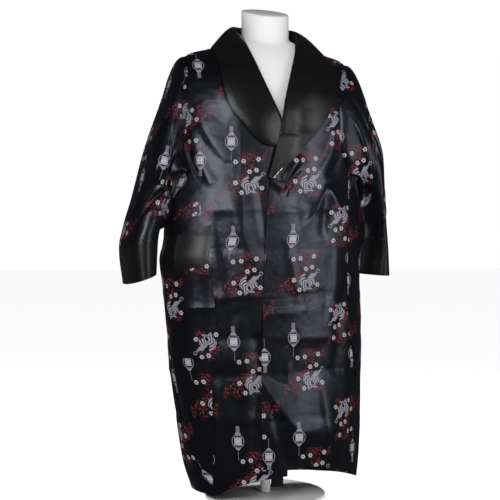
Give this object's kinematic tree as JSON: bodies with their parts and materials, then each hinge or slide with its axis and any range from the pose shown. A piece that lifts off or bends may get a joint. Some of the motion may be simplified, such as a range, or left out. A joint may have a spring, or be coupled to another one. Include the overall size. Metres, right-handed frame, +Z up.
{
  "type": "silk kimono robe on a dress form",
  "caption": "Wide wrap robe with shawl collar, set-on cuffs and hip pocket, worn by a limbless dress form on a round stand.",
  "frame": {"origin": "centre of the underside of the round base, on the axis of the dress form", "axes": "+Z up, the wearer faces -Y, the wearer's right side is -X"},
  "size_m": [0.681, 0.3, 1.2262],
  "materials": {
    "brocade": "black figured silk satin",
    "satin": "plain black satin",
    "form": "smooth matte white",
    "stand": "white powder coat"
  },
  "bodies": {
    "root": {"back": "brocade", "front_right": "brocade", "front_left": "brocade", "sleeve_right": "brocade", "sleeve_left": "brocade", "cuff_right": "satin", "cuff_left": "satin", "collar_right": "satin", "collar_left": "satin", "pocket": "brocade", "pocket_band": "satin", "inner_tie": "satin", "form_torso": "form", "form_pole": "stand", "form_base": "stand"}
  },
  "joints": []
}
